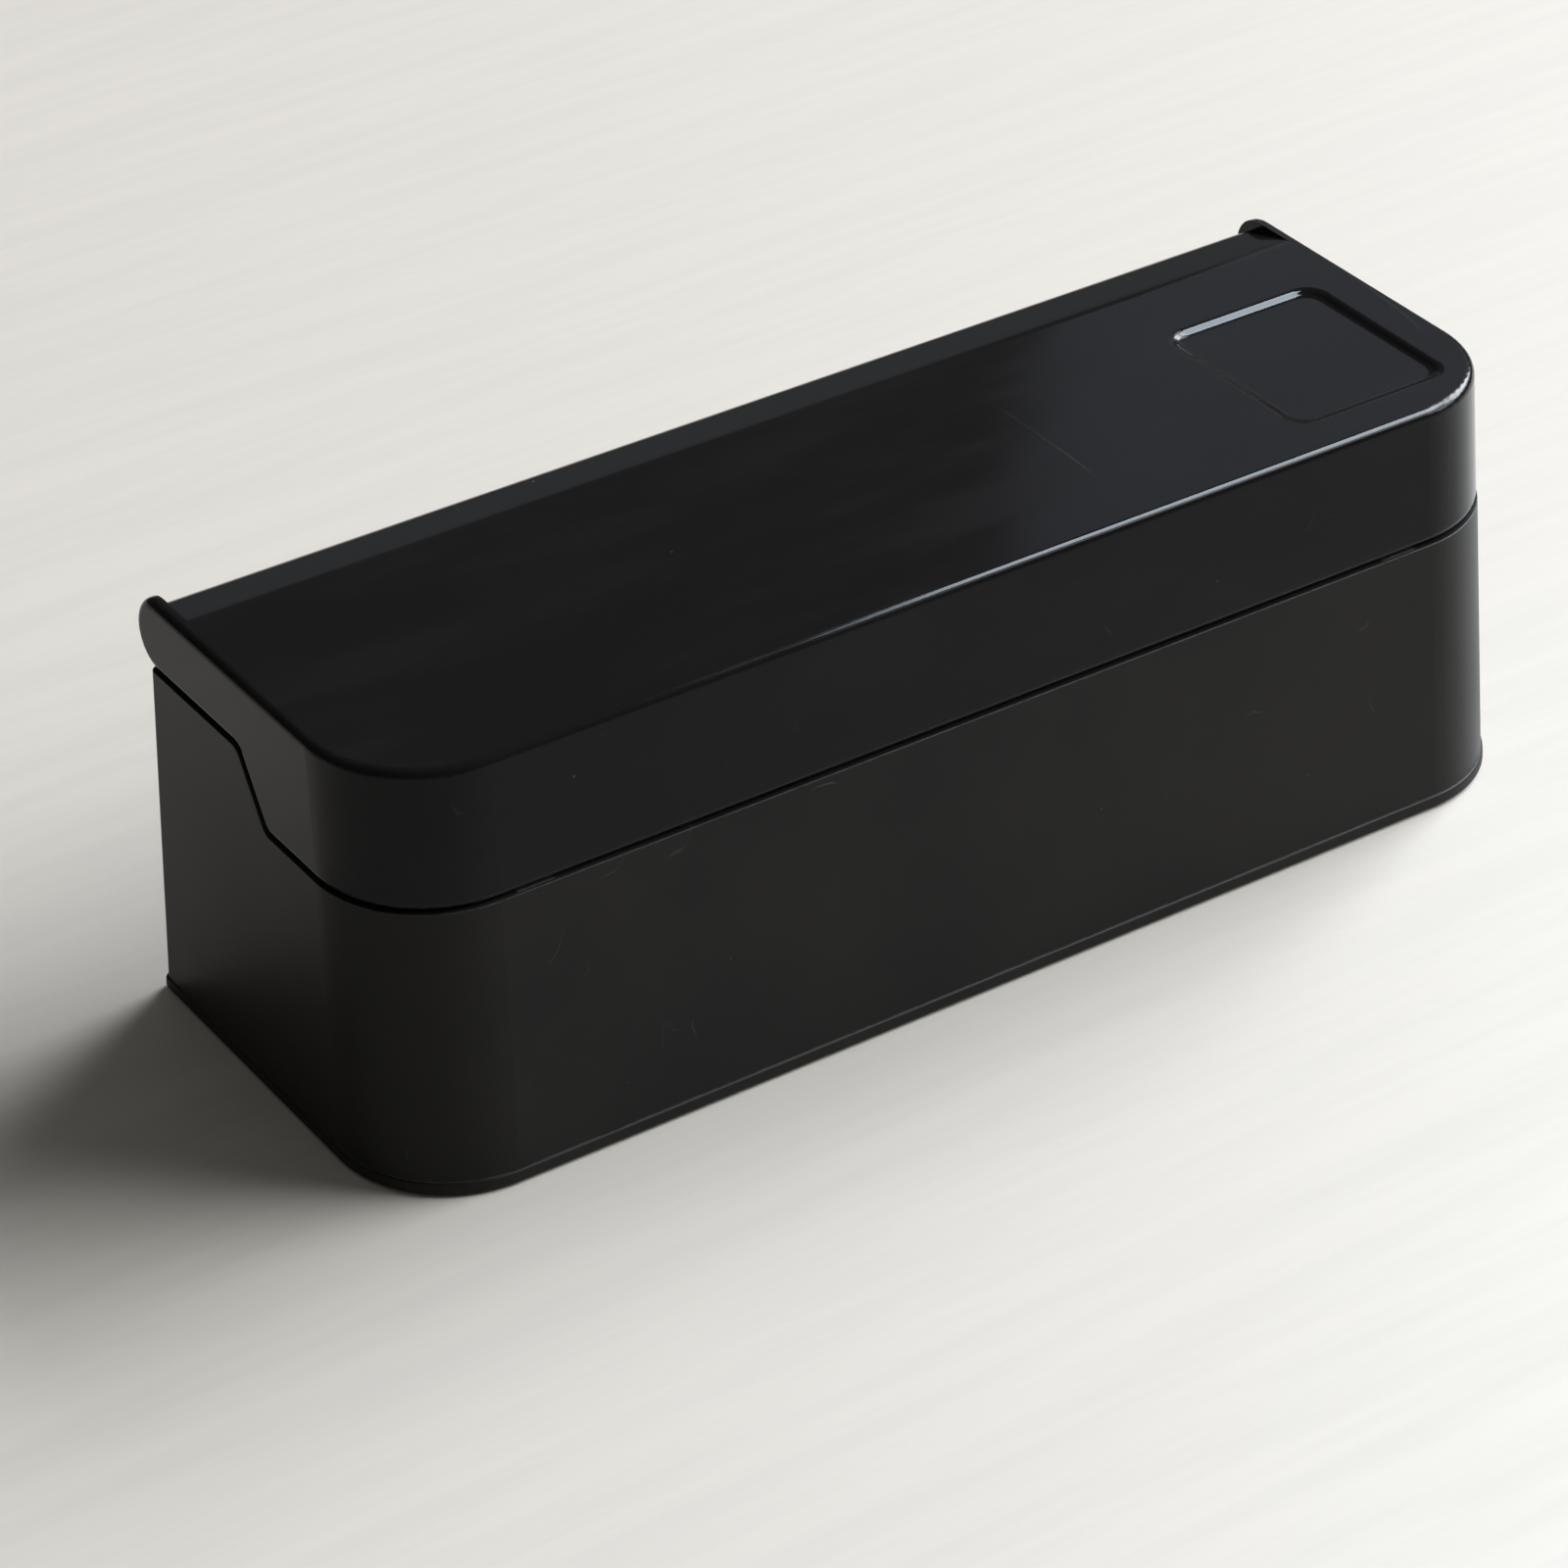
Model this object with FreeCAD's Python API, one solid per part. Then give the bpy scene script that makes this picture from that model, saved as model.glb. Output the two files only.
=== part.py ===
"""Long counter-top napkin box with a rear-hinged lid.

A sleeve-shaped body is closed below by a screwed bottom plate. A deep cap lid
covers the front and both ends and swings back on two headed pins. All walls
lean in slightly towards the top. Millimetres, +Z up, front at -Y, and the
origin on the table, in the middle of the whole object.
"""
import FreeCAD, Part
import math
import os
from FreeCAD import Vector

os.makedirs("parts", exist_ok=True)

# Overall sizes
foot_length = 266.2          # bottom flange, left to right
foot_width = 95.2            # bottom flange, front to back
overall_height = 90.0        # table to lid top
end_draft = 0.022            # lean of each wall per millimetre of height
front_draft = 0.06
rear_draft = 0.05

# Body
body_wall = 2.8
front_corner_radius = 24.5
rear_corner_radius = 2.0
seam_front_z = 60.7          # top of the body wall at the front
step_front_y = 0.0           # foot of the slanting step on each end, from mid depth
step_run = 9.5               # how far the step leans back over its height
seam_round = 3.0             # rounding of the step's two corners
seam_edge_round = 0.15
seam_gap = 0.13              # open line between lid and body
lip_height = 3.5             # locating lip that stands inside the lid
lip_wall = 1.5
lip_root = 5.0
lip_clearance = 0.3

# Lid
lid_inset = 0.25             # the lid's face lies this far inside the body's
lid_wall = 2.6
lid_top = 2.4
lid_edge_round = 1.8
lid_bend_round = 14.0        # soft bend where the rear strip starts to fall away
rear_strip_start = 9.6       # flat top ends this far in front of the hinge axis

# Hinge
ear_radius = 7.6             # round ear at each end of the lid
ear_overhang = 0.6           # the ears pass the flange's rear edge by this much
barrel_radius = 5.6          # hollow bead along the lid's rear edge
pin_radius = 1.5
pin_press_clearance = 0.02
pin_running_clearance = 0.05
pin_seat_depth = 1.7
pin_head_radius = 2.8
pin_head_thickness = 1.2
lug_thickness = 3.0
lug_radius = 3.6
lug_neck_width = 5.0
lug_sweep_clearance = 0.5    # lug to the barrel's bore
neck_clearance = 0.4         # front of a lug's neck to the edge of its slot in the barrel
slot_beyond_lug = 9.0        # the slot runs inward past the lug, to let the pin in
barrel_gap = 0.6             # barrel to the rear wall below it
stop_angle = 112.0           # lid angle at which the slot's edge lands on the lug's neck

# Finger recess in the lid's right end
recess_length = 37.5
recess_width = 44.5
recess_end_margin = 10.4
recess_front_margin = 10.2
recess_depth = 0.9
recess_wall_run = 1.45       # how far the sloping wall reaches in from mouth to floor
recess_corner = 9.0
recess_floor_round = 2.6
recess_edge_round = 2.6

# Bottom plate
foot_proud = 0.5             # rubber feet below the plate
flange_thickness = 2.6
flange_proud = 0.4
flange_edge_round = 0.6
spigot_height = 1.5          # raised floor that locates the plate in the body
spigot_clearance = 0.2
underside_depth = 1.2
underside_margin = 7.0
rib_width = 1.6
rib_count = 5
island_margin = 2.5

# Screws and their bosses
screw_radius = 1.45
screw_length = 12.0
screw_head_radius = 3.0
screw_head_height = 1.7
screw_head_sink = 0.2
screw_hole_clearance = 0.2
thread_clearance = 0.05
driver_slot_length = 3.4
driver_slot_width = 0.7
driver_slot_depth = 0.8
boss_radius = 4.0
boss_height = 10.0
boss_lift = 0.1
boss_bite = 1.0              # how far a boss merges into the wall

# Rubber feet and closing pads
foot_radius = 6.0
foot_round = 0.6
foot_seat_depth = 1.0
foot_seat_clearance = 0.2
foot_from_end = 27.0
foot_from_side = 21.0
pad_length = 8.0
pad_height = 0.1
pad_from_end = 34.0
pad_margin = 0.35            # pad edge to the edges of the rim it sits on

# Places that follow from the sizes above
depth_offset = -ear_overhang / 2
body_length = foot_length - 2 * flange_proud
body_width = foot_width - 2 * flange_proud
plate_top_z = foot_proud + flange_thickness
floor_z = plate_top_z + spigot_height
axis_z = overall_height - ear_radius
axis_y = depth_offset + foot_width / 2 + ear_overhang - ear_radius
seam_rear_z = axis_z - ear_radius - seam_gap
lid_inner = lid_inset + lid_wall
lip_outer = lid_inner + lip_clearance
lip_inner = lip_outer + lip_wall
rear_wall_top = axis_z - barrel_radius - barrel_gap
foot_seat_radius = foot_radius + foot_seat_clearance
far = 2 * foot_length        # reach of cutting shapes that pass right through


def half_length(z, inset):
    """Half the body's length at a height, inside or outside its outer face."""
    return body_length / 2 - end_draft * z - inset


def front_face(z, inset):
    return depth_offset - body_width / 2 + front_draft * z + inset


def rear_face(z, inset):
    return depth_offset + body_width / 2 - rear_draft * z - inset


lug_outer_x = half_length(axis_z, lip_outer)
lug_inner_x = lug_outer_x - lug_thickness
barrel_bore_radius = lug_radius + lug_sweep_clearance


def make_solid(faces):
    return Part.makeSolid(Part.makeShell(faces))


def quad(points):
    return Part.Face(Part.makePolygon(points + points[:1]))


def walled_block(low, high):
    """Solid between two rings of four corners, one above the other."""
    faces = [quad(low[::-1]), quad(high)]
    for i in range(4):
        j = (i + 1) % 4
        faces.append(quad([low[i], low[j], high[j], high[i]]))
    return make_solid(faces)


def tapered_block(low_z, high_z, inset, rear_radius=0.0, rear_limit=None):
    """Block between two heights with leaning walls and rounded front corners.

    rear_limit replaces the leaning rear wall with an upright one at that depth.
    """
    rings = []
    for z in (low_z, high_z):
        x = half_length(z, inset)
        y_front = front_face(z, inset)
        y_rear = rear_face(z, inset) if rear_limit is None else rear_limit
        rings.append([Vector(-x, y_front, z), Vector(x, y_front, z),
                      Vector(x, y_rear, z), Vector(-x, y_rear, z)])
    block = walled_block(*rings)
    rising = [e for e in block.Edges if abs(e.Vertexes[0].Z - e.Vertexes[1].Z) > 0.5 * (high_z - low_z)]
    front = [e for e in rising if e.CenterOfMass.y < depth_offset]
    block = block.makeFillet(front_corner_radius - inset, front)
    if rear_radius > 0:
        rising = [e for e in block.Edges if e.CenterOfMass.y > rear_face(0, inset) - 0.2 * body_width
                  and abs(e.Vertexes[0].Z - e.Vertexes[1].Z) > 0.5 * (high_z - low_z)
                  and abs(e.CenterOfMass.x) > 0.9 * half_length(high_z, inset)]
        block = block.makeFillet(rear_radius, rising)
    return block


def side_point(y, z):
    return Vector(-far / 2, y, z)


def along_length(outline):
    """Extrude a closed side-view wire right through the length."""
    return Part.Face(Part.Wire(outline)).extrude(Vector(far, 0, 0))


def lengthwise_cylinder(radius, x_low, x_high):
    return Part.makeCylinder(radius, x_high - x_low, Vector(x_low, axis_y, axis_z), Vector(1, 0, 0))


def seam_path(lift):
    """Side-view edges of the stepped seam, front to rear, raised by lift."""
    foot = side_point(depth_offset + step_front_y, seam_front_z + lift)
    head = side_point(depth_offset + step_front_y + step_run, seam_rear_z + lift)
    start = side_point(-far / 2, foot.z)
    end = side_point(far / 2, head.z)
    slant = (head - foot).normalize()
    level = Vector(0, 1, 0)
    turn = level.getAngle(slant)
    setback = seam_round * math.tan(turn / 2)
    bow = seam_round * (1 / math.cos(turn / 2) - 1)
    across = (slant - level).normalize()
    first_in, first_out = foot - level * setback, foot + slant * setback
    last_in, last_out = head - slant * setback, head + level * setback
    return [
        Part.LineSegment(start, first_in).toShape(),
        Part.Arc(first_in, foot + across * bow, first_out).toShape(),
        Part.LineSegment(first_out, last_in).toShape(),
        Part.Arc(last_in, head - across * bow, last_out).toShape(),
        Part.LineSegment(last_out, end).toShape(),
    ]


def under_seam(lift, bottom_z=-10.0):
    """Everything below the stepped seam raised by lift, down to bottom_z."""
    path = seam_path(lift)
    start, end = path[0].Vertexes[0].Point, path[-1].Vertexes[-1].Point
    corners = [end, side_point(end.y, bottom_z), side_point(start.y, bottom_z), start]
    return along_length(path + [Part.makePolygon(corners)])


def lid_side_outline():
    """Side view of the lid: stepped lower edge, round rear ear, flat top."""
    path = seam_path(seam_gap)[:-1]
    start = path[0].Vertexes[0].Point
    step_end = path[-1].Vertexes[-1].Point
    ear_low = side_point(axis_y, axis_z - ear_radius)
    ear_back = side_point(axis_y + ear_radius, axis_z)
    ear_high = side_point(axis_y, overall_height)
    return path + [
        Part.LineSegment(step_end, ear_low).toShape(),
        Part.Arc(ear_low, ear_back, ear_high).toShape(),
        Part.LineSegment(ear_high, side_point(start.y, overall_height)).toShape(),
        Part.LineSegment(side_point(start.y, overall_height), start).toShape(),
    ]


def strip_geometry():
    """Start of the falling rear strip, and its direction and outward normal in side view."""
    start = Vector(0, axis_y - rear_strip_start, overall_height)
    to_start = start - Vector(0, axis_y, axis_z)
    normal_angle = math.atan2(to_start.z, to_start.y) - math.acos(barrel_radius / to_start.Length)
    normal = Vector(0, math.cos(normal_angle), math.sin(normal_angle))
    direction = Vector(0, normal.z, -normal.y)
    return start, direction, normal


def lid_inner_cut():
    """Hollow under the lid's plate and the free space behind it, between the ears."""
    start, direction, normal = strip_geometry()
    touch = Vector(0, axis_y, axis_z) + normal * barrel_radius
    under_touch = touch - normal * lid_top
    ceiling_z = overall_height - lid_top
    under_start = under_touch - direction * ((under_touch.z - ceiling_z) / direction.z)
    low_z = seam_front_z - 20
    high_z = overall_height + 20
    points = [
        (-far / 2, low_z), (-far / 2, ceiling_z), (under_start.y, ceiling_z),
        (under_touch.y, under_touch.z), (touch.y, touch.z), (start.y, start.z),
        (start.y, high_z), (far / 2, high_z), (far / 2, low_z),
    ]
    corners = [side_point(y, z) for y, z in points]
    cut = Part.Face(Part.makePolygon(corners + corners[:1])).extrude(Vector(far, 0, 0))
    return cut.common(tapered_block(low_z, high_z, lid_inner, rear_limit=far / 3))


def finger_recess():
    """Shallow rounded pocket in the right end of the lid's top."""
    x_high = half_length(overall_height, lid_inset) - recess_end_margin
    y_low = front_face(overall_height, lid_inset) + recess_front_margin
    rings = []
    for level in (-1, 1):
        inward = -level * recess_wall_run
        z = overall_height + level * recess_depth
        x_far, x_near = x_high - recess_length + inward, x_high - inward
        y_front, y_rear = y_low + inward, y_low + recess_width - inward
        rings.append([Vector(x_far, y_front, z), Vector(x_near, y_front, z),
                      Vector(x_near, y_rear, z), Vector(x_far, y_rear, z)])
    pocket = walled_block(*rings)
    rising = [e for e in pocket.Edges if e.BoundBox.ZLength > recess_depth]
    pocket = pocket.makeFillet(recess_corner, rising)
    floor_edges = [e for e in pocket.Edges if e.BoundBox.ZMax < overall_height - 0.9 * recess_depth]
    return pocket.makeFillet(recess_floor_round, floor_edges)


def is_lid_rim(edge):
    """True for the outer top edge of the lid and the rims of its ears."""
    box = edge.BoundBox
    if box.ZMin > overall_height - 0.01:
        return abs(edge.CenterOfMass.x) > 1 or edge.CenterOfMass.y < depth_offset
    round_ear = box.YMax > axis_y + 0.9 * ear_radius
    return round_ear and box.XLength < 1.0 and box.ZLength > ear_radius


def lid_shell():
    block = tapered_block(seam_front_z - 20, overall_height + 5, lid_inset, rear_limit=far / 3)
    lid = block.common(along_length(lid_side_outline()))
    rim = [e for e in lid.Edges if is_lid_rim(e)]
    lid = lid.makeFillet(lid_edge_round, rim)
    lid = lid.cut(lid_inner_cut())
    bend = [e for e in lid.Edges if e.BoundBox.ZMin > overall_height - 0.01
            and abs(e.CenterOfMass.y - (axis_y - rear_strip_start)) < 0.01 and e.Length > body_length / 2]
    lid = lid.makeFillet(lid_bend_round, bend)
    between_ears = tapered_block(seam_front_z, overall_height + 5, lid_inner, rear_limit=far / 3)
    ear_x = half_length(axis_z, lid_inner)
    lid = lid.fuse(lengthwise_cylinder(barrel_radius, -ear_x - lid_wall / 2, ear_x + lid_wall / 2))
    lid = lid.removeSplitter()
    lid = lid.cut(lengthwise_cylinder(barrel_bore_radius, -far / 2, far / 2).common(between_ears))
    seat_x = ear_x + pin_seat_depth
    lid = lid.cut(lengthwise_cylinder(pin_radius + pin_running_clearance, -seat_x, seat_x))
    for side in (-1, 1):
        lid = lid.cut(lug_slot(side).common(between_ears))
    lid = lid.cut(finger_recess())
    mouth = [e for e in lid.Edges if e.BoundBox.ZMin > overall_height - 0.01 and is_recess_edge(e)]
    return lid.makeFillet(recess_edge_round, mouth)


def lug_slot(side):
    """Opening in the barrel that a lug's neck swings through, from closed to the stop."""
    half_neck = lug_neck_width / 2
    swing = math.radians(stop_angle)
    reach = 3 * barrel_radius
    stop_normal = Vector(0, math.cos(swing), math.sin(swing)) * half_neck
    stop_direction = Vector(0, math.sin(swing), -math.cos(swing)) * reach
    front_y = -half_neck - neck_clearance
    axis = Vector(0, axis_y, axis_z)
    corners = [
        axis + Vector(0, front_y, 0), axis + Vector(0, front_y, -reach), axis + Vector(0, reach, -reach),
        axis + stop_normal + stop_direction, axis + stop_normal,
    ]
    x_near = lug_inner_x - slot_beyond_lug
    x_low = x_near if side > 0 else -far / 2
    slot = Part.Face(Part.makePolygon(corners + corners[:1])).extrude(Vector(far / 2 - x_near, 0, 0))
    slot.translate(Vector(x_low, 0, 0))
    return slot


def is_recess_edge(edge):
    """True for an edge of the recess's mouth, in the lid's flat top."""
    x_high = half_length(overall_height, lid_inset) - recess_end_margin
    y_low = front_face(overall_height, lid_inset) + recess_front_margin
    box = edge.BoundBox
    inside_x = box.XMin > x_high - recess_length - 0.1 and box.XMax < x_high + 0.1
    inside_y = box.YMin > y_low - 0.1 and box.YMax < y_low + recess_width + 0.1
    return inside_x and inside_y


def hinge_lug(side):
    """Upright lug with a round head that holds a hinge pin; its neck's rear face stops the lid."""
    x_low = lug_inner_x if side > 0 else -lug_outer_x
    neck_low_z = seam_rear_z - lip_root
    head = lengthwise_cylinder(lug_radius, x_low, x_low + lug_thickness)
    neck = Part.makeBox(lug_thickness, lug_neck_width, axis_z - neck_low_z,
                        Vector(x_low, axis_y - lug_neck_width / 2, neck_low_z))
    bore = lengthwise_cylinder(pin_radius + pin_press_clearance, -far / 2, far / 2)
    return head.fuse(neck).removeSplitter().cut(bore)


def boss_centres():
    """Screw places: one in each inner corner, each merged into the wall."""
    reach = body_wall - boss_bite + boss_radius
    rear_x = half_length(floor_z, reach)
    rear_y = rear_face(floor_z, reach)
    corner = front_corner_radius - reach
    front_x = half_length(floor_z, front_corner_radius) + corner * math.sqrt(0.5)
    front_y = front_face(floor_z, front_corner_radius) - corner * math.sqrt(0.5)
    return [(sign * x, y) for x, y in ((front_x, front_y), (rear_x, rear_y)) for sign in (-1, 1)]


def foot_centres():
    x = foot_length / 2 - foot_from_end
    y = foot_width / 2 - foot_from_side
    return {
        "front_left": (-x, depth_offset - y), "front_right": (x, depth_offset - y),
        "rear_left": (-x, depth_offset + y), "rear_right": (x, depth_offset + y),
    }


def body_shell():
    outer = tapered_block(plate_top_z, rear_wall_top, 0.0, rear_radius=rear_corner_radius)
    hollow = tapered_block(plate_top_z - 1, overall_height, body_wall)
    body = outer.common(under_seam(0.0))
    rim = [e for e in body.Edges if is_seam_edge(e)]
    body = body.makeFillet(seam_edge_round, rim)
    body = body.cut(hollow)
    rear_wall = outer.cut(hollow).common(Part.makeBox(
        2 * lug_outer_x, body_wall + 4, rear_wall_top - seam_rear_z + lip_root,
        Vector(-lug_outer_x, rear_face(seam_rear_z, body_wall + 2), seam_rear_z - lip_root)))
    low_z = seam_front_z - 2 * lip_root
    inner = tapered_block(low_z, overall_height, lip_inner)
    root = tapered_block(low_z, overall_height, body_wall / 2).cut(inner)
    root = root.common(under_seam(0.0)).cut(under_seam(-lip_root))
    lip = tapered_block(low_z, overall_height, lip_outer).cut(inner)
    lip = lip.common(under_seam(lip_height)).cut(under_seam(-lip_root))
    lip_end_y = axis_y - barrel_radius - barrel_gap
    lip = lip.common(Part.makeBox(far, far, far, Vector(-far / 2, lip_end_y - far, -far / 2)))
    body = body.fuse([rear_wall, root, lip, hinge_lug(-1), hinge_lug(1)])
    low = floor_z + boss_lift
    inside = tapered_block(low, low + boss_height, body_wall / 2)
    for x, y in boss_centres():
        post = Part.makeCylinder(boss_radius, boss_height, Vector(x, y, low))
        body = body.fuse(post.common(inside))
    for x, y in boss_centres():
        pilot = screw_radius + thread_clearance
        body = body.cut(Part.makeCylinder(pilot, boss_height + boss_lift, Vector(x, y, floor_z)))
    return body.removeSplitter()


def is_seam_edge(edge):
    """True for the outer upper edge of the body, all along the stepped seam."""
    box = edge.BoundBox
    high = box.ZMin > seam_front_z - 1
    behind = box.YMin > rear_face(seam_rear_z, body_wall)
    upright_rear = box.YMin > axis_y - ear_radius and box.ZLength > 2 * ear_radius
    crossing = box.XLength > 0.9 * body_length and box.YMin > depth_offset - body_width / 4
    return high and not behind and not upright_rear and not crossing


def bottom_plate():
    plate = tapered_block(foot_proud, plate_top_z, -flange_proud, rear_radius=rear_corner_radius)
    outer_edges = [e for e in plate.Edges if e.BoundBox.ZLength < 0.01]
    plate = plate.makeFillet(flange_edge_round, outer_edges)
    spigot = tapered_block(foot_proud + flange_thickness / 2, floor_z, body_wall + spigot_clearance)
    plate = plate.fuse(spigot)
    for cell in underside_cells():
        plate = plate.cut(cell)
    for x, y in foot_centres().values():
        plate = plate.cut(Part.makeCylinder(foot_seat_radius, foot_seat_depth, Vector(x, y, foot_proud)))
    for x, y in boss_centres():
        plate = plate.cut(screw_hole(x, y))
    return plate


def underside_cells():
    """Shallow cells between the plate's ribs, clear of the feet and the screws."""
    margin = underside_margin
    roof_z = foot_proud + underside_depth
    islands = [(x, y, foot_seat_radius + island_margin) for x, y in foot_centres().values()]
    islands += [(x, y, screw_head_radius + island_margin) for x, y in boss_centres()]
    pitch = (foot_length - 2 * margin + rib_width) / (rib_count + 1)
    low_y = front_face(0, margin)
    cells = []
    for i in range(rib_count + 1):
        x_low = -foot_length / 2 + margin + pitch * i
        box = Part.makeBox(pitch - rib_width, rear_face(0, margin) - low_y, roof_z, Vector(x_low, low_y, 0))
        near = [e for e in box.Edges if abs(e.tangentAt(e.FirstParameter).z) > 0.9]
        end_x = foot_length / 2 - margin - 1
        near = [e for e in near if abs(e.CenterOfMass.x) > end_x and e.CenterOfMass.y < 0]
        if near:
            box = box.makeFillet(front_corner_radius - margin, near)
        for x, y, radius in islands:
            box = box.cut(Part.makeCylinder(radius, 2 * roof_z, Vector(x, y, -roof_z / 2)))
        cells.append(box)
    return cells


def turned(outline, x, y):
    """Solid turned about an upright line at x, y from (radius, height) points."""
    corners = [Vector(radius, 0, z) for radius, z in outline]
    face = Part.Face(Part.makePolygon(corners + corners[:1]))
    solid = face.revolve(Vector(0, 0, 0), Vector(0, 0, 1), 360)
    solid.translate(Vector(x, y, 0))
    return solid


def screw_hole(x, y):
    """Cutter for a through hole with a sunk conical mouth below."""
    hole = screw_radius + screw_hole_clearance
    mouth = screw_head_radius + screw_hole_clearance
    sink_z = foot_proud + screw_head_sink
    outline = [
        (0, 0), (mouth, 0), (mouth, sink_z), (hole, sink_z + screw_head_height),
        (hole, 2 * floor_z), (0, 2 * floor_z),
    ]
    return turned(outline, x, y)


def plate_screw(x, y):
    base_z = foot_proud + screw_head_sink
    tip_z = base_z + screw_length
    outline = [
        (0, base_z), (screw_head_radius, base_z), (screw_radius, base_z + screw_head_height),
        (screw_radius, tip_z - screw_radius), (screw_radius / 4, tip_z), (0, tip_z),
    ]
    screw = turned(outline, x, y)
    for length, width in ((driver_slot_length, driver_slot_width), (driver_slot_width, driver_slot_length)):
        corner = Vector(x - length / 2, y - width / 2, base_z)
        screw = screw.cut(Part.makeBox(length, width, driver_slot_depth, corner))
    return screw


def rubber_foot(x, y):
    foot = Part.makeCylinder(foot_radius, foot_proud + foot_seat_depth, Vector(x, y, 0))
    lower = [e for e in foot.Edges if e.BoundBox.ZMax < 0.01]
    return foot.makeFillet(foot_round, lower)


def hinge_pin(side):
    """Headed pin, pressed through a body lug from inside and seated in the lid's ear."""
    head_x = lug_inner_x - pin_head_thickness
    tip_x = half_length(axis_z, lid_inner) + pin_seat_depth - pin_running_clearance
    shank = lengthwise_cylinder(pin_radius, *sorted((side * head_x, side * tip_x)))
    head = lengthwise_cylinder(pin_head_radius, *sorted((side * head_x, side * lug_inner_x)))
    return head.fuse(shank).removeSplitter()


def closing_pad(side):
    """Soft pad on the body's front rim that the lid's edge comes down on."""
    depth = body_wall - lid_inset - 2 * pad_margin
    x = side * (foot_length / 2 - pad_from_end)
    y = front_face(seam_front_z, lid_inset + pad_margin)
    return Part.makeBox(pad_length, depth, pad_height, Vector(x - pad_length / 2, y, seam_front_z))


def write_part(name, shape):
    if not shape.isValid():
        raise RuntimeError(name + " is not a valid shape")
    shape.exportStep("parts/" + name + ".step")
    box = shape.BoundBox
    print("%-16s solids %d  volume %9.1f  x %.2f..%.2f  y %.2f..%.2f  z %.2f..%.2f" % (
        name, len(shape.Solids), shape.Volume, box.XMin, box.XMax, box.YMin, box.YMax, box.ZMin, box.ZMax))


def main():
    write_part("body_shell", body_shell())
    write_part("bottom_plate", bottom_plate())
    write_part("lid_shell", lid_shell())
    write_part("plate_screws", Part.makeCompound([plate_screw(x, y) for x, y in boss_centres()]))
    for place, (x, y) in foot_centres().items():
        write_part("foot_" + place, rubber_foot(x, y))
    for name, side in (("left", -1), ("right", 1)):
        write_part("hinge_pin_" + name, hinge_pin(side))
        write_part("closing_pad_" + name, closing_pad(side))


main()
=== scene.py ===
"""Finishes a long counter box for folded napkins: moulded plastic, rubber, steel, floor, lights and camera.

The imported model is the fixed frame, in metres: +X runs along the box to the end with the finger
recess, -Y is the front that the lid opens from, and +Z is up.
"""
import math

import bmesh
import bpy
from bpy.props import FloatProperty, FloatVectorProperty, IntProperty, PointerProperty
from mathutils import Matrix, Vector


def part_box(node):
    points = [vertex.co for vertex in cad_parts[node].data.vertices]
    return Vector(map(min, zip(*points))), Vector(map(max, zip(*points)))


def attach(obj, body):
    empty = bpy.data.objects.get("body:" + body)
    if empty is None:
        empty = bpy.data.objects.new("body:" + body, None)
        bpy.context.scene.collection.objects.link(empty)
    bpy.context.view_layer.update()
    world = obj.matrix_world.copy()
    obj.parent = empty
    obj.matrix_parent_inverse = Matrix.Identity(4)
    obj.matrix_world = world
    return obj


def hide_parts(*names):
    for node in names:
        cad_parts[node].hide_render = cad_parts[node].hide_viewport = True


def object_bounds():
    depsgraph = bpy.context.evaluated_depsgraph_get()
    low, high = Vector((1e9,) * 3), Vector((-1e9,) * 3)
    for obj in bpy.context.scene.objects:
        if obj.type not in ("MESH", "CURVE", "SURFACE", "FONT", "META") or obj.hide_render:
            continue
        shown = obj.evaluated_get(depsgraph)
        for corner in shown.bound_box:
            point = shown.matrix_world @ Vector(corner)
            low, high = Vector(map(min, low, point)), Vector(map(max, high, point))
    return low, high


bl_info = {
    "name": "Napkin Box Finisher",
    "version": (1, 0, 0),
    "blender": (4, 5, 0),
    "location": "View3D > Sidebar > Napkin Box",
    "description": "Finishes a hinged counter box for folded napkins and sets it on a lit floor",
    "category": "Object",
}

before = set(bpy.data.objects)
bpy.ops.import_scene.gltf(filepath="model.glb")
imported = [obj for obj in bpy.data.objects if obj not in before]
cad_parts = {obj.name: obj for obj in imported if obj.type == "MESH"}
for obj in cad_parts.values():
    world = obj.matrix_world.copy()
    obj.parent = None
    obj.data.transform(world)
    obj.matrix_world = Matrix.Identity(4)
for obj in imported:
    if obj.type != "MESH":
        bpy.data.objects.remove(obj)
cad_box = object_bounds()

MM = 0.001
SIDES = {"left": -1, "right": 1}
ENDS = {"front": -1, "rear": 1}

# Faces that meet at more than this stay a sharp edge
SHARP_ANGLE = math.radians(35)

# Sizes of the small turned pieces that their boxes don't give
PIN_RADIUS = 1.5 * MM
PIN_HEAD = 1.2 * MM
SCREW_SHANK = 1.45 * MM
SCREW_HEAD = 1.7 * MM

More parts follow.
